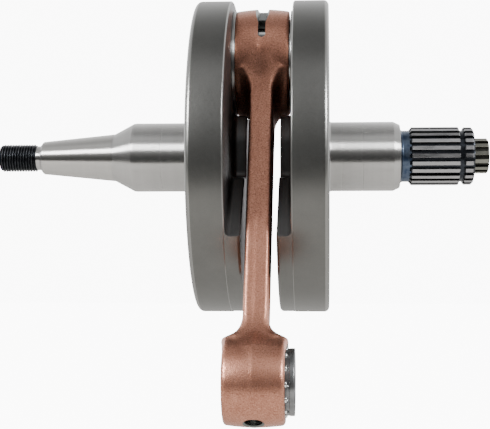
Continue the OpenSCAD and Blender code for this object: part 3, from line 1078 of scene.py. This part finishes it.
def v_cutter(side):
    """Straight V cut across the rim, with a flat floor in near-black painted shade."""
    floor_z = BIG_R - 2.3
    top_z = BIG_R + 5
    half = SLOT_HALF
    spread = 1.25
    mouth = 2.4 * spread
    reach = 16
    section = [
        (-half, floor_z), (half, floor_z), (half + spread, BIG_R), (half + mouth, top_z),
        (-half - mouth, top_z), (-half - spread, BIG_R),
    ]
    rings = [[(x, y, z) for x, z in section] for y in (-reach, reach)]
    cutter = loft("v_cut", rings, SLOT_STEEL)
    # Its floor faces take the near-black steel: painted shade at the bottom of the cut
    paint(cutter, SLOT_FLOOR_SHADE, lambda at, out: at.z < BIG_R - 2)
    return move(cutter, x_placed(180 + side * V_CUT_TURN))


def connecting_rod():
    """The forging as one surface, then its bores, oil slots and tip hole cut out."""
    low = (-BIG_HALF_W - 2, -BIG_R - 2, -BIG_R - 2)
    high = (BIG_HALF_W + 2, BIG_R + 2, ROD_LENGTH + SMALL_R + 2)
    grid_step = 0.6
    points, faces = surface_net(rod_distance, low, high, grid_step)
    rod = make("connecting_rod_forging", points, faces, COPPER, sharp=180)
    cuts = [bore_cutter(BIG_HALF_W, BIG_BORE)]
    cuts.append(move(bore_cutter(SMALL_HALF_W, SMALL_BORE), x_placed(0, (0, 0, ROD_LENGTH))))
    last = WINDOW_END + math.degrees(SLOT_HALF / BIG_R)
    for side in (-1, 1):
        cuts.append(arc_cutter(
            "window", side * WINDOW_START, side * last, BIG_BORE - 2, BIG_R + 3, window_half
        ))
        cuts.append(v_cutter(side))
    cuts.append(arc_cutter(
        "groove", -GROOVE_END, GROOVE_END, BIG_R - 0.75, BIG_R + 2, groove_half
    ))
    tip = lathe("tip", [
        (0, 0), (0, TIP_HOLE_R), (SMALL_R - 0.7, TIP_HOLE_R),
        (SMALL_R + 2, TIP_HOLE_R + 2.7), (SMALL_R + 2, 0),
    ], SLOT_STEEL, 64)
    turn = Matrix.Rotation(math.radians(-90), 4, "Y")
    cuts.append(move(tip, Matrix.Translation((0, 0, ROD_LENGTH)) @ turn))
    for cut in cuts:
        combine(rod, cut, "DIFFERENCE", 40)
    return move(rod, ROD_FRAME)


# ---------------------------------------------------------------- assembly

for piece in (web("ignition_web", -1), ignition_shaft(), ignition_taper(), thread()):
    dress(piece, "crank", "ignition_side_half")
for piece in (web("drive_web", 1), drive_shaft(), drive_neck(), drive_splines(), drive_stub()):
    dress(piece, "crank", "drive_side_half")
dress(crank_pin(), "crank", "crank_pin")
for end, direction in (("ignition", -1), ("drive", 1)):
    washer = thrust_washer(end + "_washer_ring", direction)
    dress(washer, end + "_washer", end + "_thrust_washer")
dress(connecting_rod(), "rod", "connecting_rod")
bearing(
    "big_end_roller_", "big_end_cage", "big_end_bearing", BIG_END,
    r_in=11.35, r_out=14.6, window_w=3.6, lip=1.2,
)
bearing(
    "small_end_needle_", "small_end_cage", "small_end_bearing", SMALL_END,
    r_in=9.3, r_out=10.5, window_w=1.85, lip=1.5,
)

# ---------------------------------------------------------------- stage


SEEN_WHITE = 10


def world_light():
    """Grey studio: dim in front, brighter overhead and behind; plain white to the camera."""
    world = bpy.data.worlds.new("studio")
    bpy.context.scene.world = world
    world.use_nodes = True
    tree = world.node_tree
    new, link = tree.nodes.new, tree.links.new

    def ranged(value, low, high, to_low=0.0, to_high=1.0):
        node = new("ShaderNodeMapRange")
        link(value, node.inputs["Value"])
        node.inputs["From Min"].default_value = low
        node.inputs["From Max"].default_value = high
        node.inputs["To Min"].default_value = to_low
        node.inputs["To Max"].default_value = to_high
        return node.outputs[0]

    def color_mix(factor, a):
        node = new("ShaderNodeMix")
        node.data_type = "RGBA"
        link(factor, node.inputs[0])
        link(a, node.inputs[6])
        return node

    parts = new("ShaderNodeSeparateXYZ")
    link(new("ShaderNodeTexCoord").outputs["Generated"], parts.inputs[0])
    rise = new("ShaderNodeMath")
    rise.operation = "ARCSINE"
    link(parts.outputs["Z"], rise.inputs[0])

    # In front, brightness at each elevation in degrees
    stops = [
        (-90, 0.40), (-50, 0.60), (-24.5, 0.62), (-22, 0.08), (-10, 0.08), (0, 0.11), (8, 0.20),
        (14, 0.26), (29, 0.40), (45, 0.62), (60, 0.95), (75, 0.30), (90, 0.20),
    ]
    ramp = new("ShaderNodeValToRGB")
    for (angle, v), end in zip((stops[0], stops[-1]), ramp.color_ramp.elements):
        end.position = (angle + 90) / 180
        end.color = (v, v, v, 1)
    for angle, v in stops[1:-1]:
        ramp.color_ramp.elements.new((angle + 90) / 180).color = (v, v, v, 1)
    link(ranged(rise.outputs[0], -math.pi / 2, math.pi / 2), ramp.inputs[0])

    # Behind, brightest near the horizon; the two blend between Y -0.1 and 0.2 of the direction
    low_back, high_back = 2.2, 0.5
    behind = ranged(rise.outputs[0], math.radians(10), math.radians(75), low_back, high_back)
    both = color_mix(ranged(parts.outputs["Y"], -0.1, 0.2), ramp.outputs[0])
    link(behind, both.inputs[7])
    seen = color_mix(new("ShaderNodeLightPath").outputs["Is Camera Ray"], both.outputs[2])
    seen.inputs[7].default_value = (SEEN_WHITE, SEEN_WHITE, SEEN_WHITE, 1)
    shade = tree.nodes["Background"]
    link(seen.outputs[2], shade.inputs["Color"])
    shade.inputs["Strength"].default_value = 1.0


def softbox(name, at, size, strength):
    """A square light of constant brightness, aimed at the crank's middle."""
    light = bpy.data.lights.new(name, "AREA")
    light.shape = "RECTANGLE"
    light.size, light.size_y = size, size
    light.energy = strength * math.pi * size * size
    lamp = bpy.data.objects.new(name, light)
    bpy.context.scene.collection.objects.link(lamp)
    lamp.location = at
    lamp.rotation_mode = "QUATERNION"
    lamp.rotation_quaternion = (-Vector(at)).to_track_quat("-Z", "Y")


def floor():
    """Plain pale floor, its front edge just behind the camera."""
    front, back, side, level = -0.47, 3.0, 3.0, -0.2
    mesh = bpy.data.meshes.new("floor")
    mesh.from_pydata(
        [(-side, front, level), (side, front, level), (side, back, level), (-side, back, level)],
        [], [(0, 1, 2, 3)],
    )
    obj = bpy.data.objects.new("floor", mesh)
    bpy.context.scene.collection.objects.link(obj)
    material = bpy.data.materials.new("pale_floor")
    material.use_nodes = True
    shader = material.node_tree.nodes["Principled BSDF"]
    shader.inputs["Base Color"].default_value = (0.45, 0.437, 0.415, 1)
    shader.inputs["Roughness"].default_value = 0.9
    shader.inputs["Emission Color"].default_value = (1, 1, 1, 1)
    tree = material.node_tree
    seen = tree.nodes.new("ShaderNodeMapRange")
    seen.inputs["To Min"].default_value = 0.25
    seen.inputs["To Max"].default_value = SEEN_WHITE
    path = tree.nodes.new("ShaderNodeLightPath")
    tree.links.new(path.outputs["Is Camera Ray"], seen.inputs["Value"])
    tree.links.new(seen.outputs[0], shader.inputs["Emission Strength"])
    mesh.materials.append(material)


def camera():
    """Long lens, nearly level, a little below the crank axis and to the drive side."""
    cam = bpy.data.cameras.new("camera")
    cam.lens = 89.43
    cam.sensor_width = 36
    cam.clip_start = 0.01
    obj = bpy.data.objects.new("camera", cam)
    bpy.context.scene.collection.objects.link(obj)
    yaw = math.radians(3.652)
    pitch = math.radians(1.372)
    roll = math.radians(-0.038)
    obj.matrix_world = (
        Matrix.Translation((0.021, -0.44163, -0.03148))
        @ Matrix.Rotation(yaw, 4, "Z")
        @ Matrix.Rotation(math.radians(90) + pitch, 4, "X")
        @ Matrix.Rotation(roll, 4, "Z")
    )
    bpy.context.scene.camera = obj


world_light()
softbox("left_softbox", (-0.63, -0.62, 0.45), size=0.28, strength=54)
softbox("right_softbox", (0.68, -0.57, 0.45), size=0.28, strength=43)
floor()
camera()
